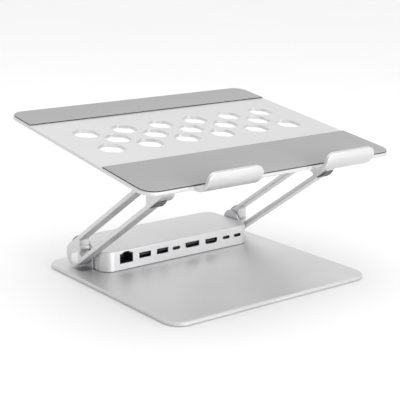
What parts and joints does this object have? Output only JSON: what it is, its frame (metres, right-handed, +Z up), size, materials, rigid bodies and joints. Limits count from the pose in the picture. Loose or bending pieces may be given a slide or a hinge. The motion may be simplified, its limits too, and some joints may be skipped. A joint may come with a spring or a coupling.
{
  "type": "laptop docking station",
  "caption": "Folding laptop stand with a slim port dock on its base, slotted side arms and a tilting, vented, padded plate with curled front lips.",
  "frame": {"origin": "middle of the whole outline, on the surface that the feet stand on", "axes": "+X across the stand to the user's right, +Y from the front lips and ports to the back, +Z up"},
  "size_m": [0.2958, 0.2638, 0.1603],
  "materials": {
    "blasted_aluminium": "fine bead-blasted and clear anodised, soft satin",
    "grey_silicone": "matt moulded silicone",
    "dark_cushion": "matt moulded",
    "black_rubber": "matt moulded",
    "bracket_steel": "brushed and nickel plated",
    "screw_steel": "turned and zinc plated",
    "port_metal": "thin nickel-plated sheet",
    "port_plastic": "black moulded",
    "washer_nylon": "natural moulded",
    "cover_plastic": "dark moulded, fine grain",
    "board_laminate": "green lacquered laminate",
    "chip_plastic": "matt moulded"
  },
  "bodies": {
    "base": {"base_plate": "blasted_aluminium", "base_feet": "black_rubber", "base_bracket_screws": "screw_steel", "dock_shell": "blasted_aluminium", "dock_bottom_cover": "cover_plastic", "circuit_board": "board_laminate", "board_chips": "chip_plastic", "dock_screws": "screw_steel", "port_contacts": "port_plastic", "left_base_bracket": "bracket_steel", "right_base_bracket": "bracket_steel", "left_lower_washer": "washer_nylon", "right_lower_washer": "washer_nylon", "network_jack": "port_plastic", "wide_port_1": "port_metal", "wide_port_2": "port_metal", "small_port_1": "port_metal", "small_port_2": "port_metal", "small_port_3": "port_metal", "video_port_1": "port_metal", "video_port_2": "port_metal"},
    "arms": {"left_arm": "blasted_aluminium", "left_hinge_cover": "blasted_aluminium", "left_top_bumper": "dark_cushion", "left_end_bumper": "dark_cushion", "left_lower_pin": "bracket_steel", "right_arm": "blasted_aluminium", "right_hinge_cover": "blasted_aluminium", "right_top_bumper": "dark_cushion", "right_end_bumper": "dark_cushion", "right_lower_pin": "bracket_steel"},
    "upper_pins": {"left_upper_pin": "bracket_steel", "right_upper_pin": "bracket_steel"},
    "plate": {"top_plate": "blasted_aluminium", "front_pad": "grey_silicone", "back_pad": "grey_silicone", "left_lip_pad": "grey_silicone", "right_lip_pad": "grey_silicone", "left_plate_bracket": "blasted_aluminium", "right_plate_bracket": "blasted_aluminium", "plate_bracket_screws": "screw_steel", "left_upper_washer": "washer_nylon", "right_upper_washer": "washer_nylon"}
  },
  "joints": [
    {"name": "arm_fold", "type": "hinge", "parent": "base", "child": "arms", "pos_m": [0, 0.07714, 0.021], "axis": [-1, 0, 0], "range_deg": [-34.15, 20]},
    {"name": "plate_level", "type": "hinge", "parent": "arms", "child": "upper_pins", "pos_m": [0, -0.05899, 0.11334], "axis": [-1, 0, 0], "range_deg": [-20.5, 34.65]},
    {"name": "plate_tilt", "type": "hinge", "parent": "upper_pins", "child": "plate", "pos_m": [0, -0.05899, 0.11334], "axis": [1, 0, 0], "range_deg": [-8, 22]}
  ],
  "couplings": [
    {"joint": "plate_level", "follows": "arm_fold", "ratio": -1}
  ]
}
